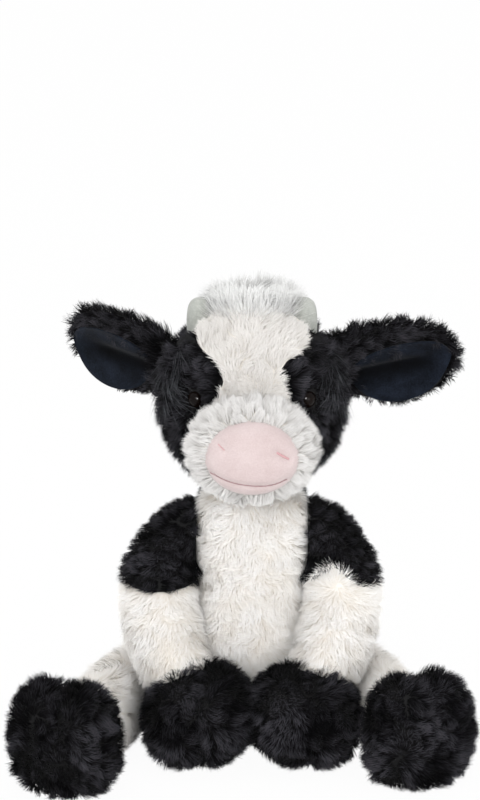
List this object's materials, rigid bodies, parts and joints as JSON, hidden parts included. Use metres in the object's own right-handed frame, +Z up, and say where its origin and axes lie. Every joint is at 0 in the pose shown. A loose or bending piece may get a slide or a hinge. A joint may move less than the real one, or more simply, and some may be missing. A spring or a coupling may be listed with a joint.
{
  "type": "seated plush cow",
  "caption": "Seated stuffed toy cow in curly and shaggy plush with nodding head, folding ears, swinging arms and hind legs, and a hanging tail.",
  "frame": {"origin": "on the floor under the middle of the body, at the centre line of the flat seat", "axes": "+Z up, -Y the way the cow faces, +X the cow's own left"},
  "size_m": [0.234, 0.1831, 0.2527],
  "materials": {
    "white_plush": "long curly off-white pile",
    "black_plush": "long shaggy black pile",
    "pink_velour": "smooth short-pile pale pink velour",
    "navy_velour": "smooth short-pile dark blue-grey velour",
    "horn_velour": "smooth short-pile grey-sage velour",
    "long_hair": "long straight light grey hair",
    "dark_hair": "long straight dark grey hair",
    "eye_gloss": "polished black bead",
    "clear_plastic": "translucent washer, never seen",
    "stuffing": "loose fibre filling",
    "lining_cotton": "plain woven cotton pouch"
  },
  "bodies": {
    "body": {"base_panel": "white_plush", "chest_belly_panel": "white_plush", "back_saddle_panel": "black_plush", "rump_panel": "white_plush", "body_stuffing": "stuffing", "bean_pouch": "lining_cotton"},
    "neck": {"neck": "white_plush"},
    "head": {"head_side_left": "black_plush", "head_side_right": "black_plush", "face_blaze": "white_plush", "head_stuffing": "stuffing", "muzzle": "white_plush", "nose_patch": "pink_velour", "eye_left": "eye_gloss", "eye_right": "eye_gloss", "eye_washer_left": "clear_plastic", "eye_washer_right": "clear_plastic", "horn_left": "horn_velour", "horn_right": "horn_velour", "forelock": "long_hair", "ear_hair_left": "dark_hair", "ear_hair_right": "dark_hair"},
    "tail": {"tail": "white_plush", "tail_tuft": "black_plush"},
    "ear_left": {"ear_back_left": "black_plush", "ear_lining_left": "navy_velour"},
    "arm_left": {"upper_arm_left": "black_plush", "foreleg_left": "white_plush", "fore_hoof_left": "black_plush"},
    "leg_left": {"hind_leg_left": "white_plush", "hind_hoof_left": "black_plush"},
    "ear_right": {"ear_back_right": "black_plush", "ear_lining_right": "navy_velour"},
    "arm_right": {"upper_arm_right": "black_plush", "foreleg_right": "white_plush", "fore_hoof_right": "black_plush"},
    "leg_right": {"hind_leg_right": "white_plush", "hind_hoof_right": "black_plush"}
  },
  "joints": [
    {"name": "neck_turn", "type": "hinge", "parent": "body", "child": "neck", "pos_m": [0, 0.001, 0.13], "axis": [0, 0, 1], "range_deg": [-40, 40], "stiffness_Nm_per_rad": 0.1},
    {"name": "head_nod", "type": "hinge", "parent": "neck", "child": "head", "pos_m": [0, 0.001, 0.13], "axis": [1, 0, 0], "range_deg": [-15, 10], "stiffness_Nm_per_rad": 0.3},
    {"name": "tail_swing", "type": "hinge", "parent": "body", "child": "tail", "pos_m": [0, 0.0497, 0.056], "axis": [1, 0, 0], "range_deg": [0, 75]},
    {"name": "ear_fold_left", "type": "hinge", "parent": "head", "child": "ear_left", "pos_m": [0.0453, 0.002, 0.204], "axis": [-0.0616, -0.3084, 0.9493], "range_deg": [-30, 30], "stiffness_Nm_per_rad": 0.01},
    {"name": "arm_swing_left", "type": "hinge", "parent": "body", "child": "arm_left", "pos_m": [0, 0, 0.109], "axis": [-1, 0, 0], "range_deg": [0, 45]},
    {"name": "leg_drop_left", "type": "hinge", "parent": "body", "child": "leg_left", "pos_m": [0, 0.004, 0.024], "axis": [1, 0, 0], "range_deg": [0, 80]},
    {"name": "ear_fold_right", "type": "hinge", "parent": "head", "child": "ear_right", "pos_m": [-0.04529, 0.002, 0.204], "axis": [-0.0411, -0.3088, 0.9503], "range_deg": [-30, 30], "stiffness_Nm_per_rad": 0.01},
    {"name": "arm_swing_right", "type": "hinge", "parent": "body", "child": "arm_right", "pos_m": [0, 0, 0.109], "axis": [-1, 0, 0], "range_deg": [0, 45]},
    {"name": "leg_drop_right", "type": "hinge", "parent": "body", "child": "leg_right", "pos_m": [0, 0.004, 0.024], "axis": [1, 0, 0], "range_deg": [0, 80]}
  ]
}
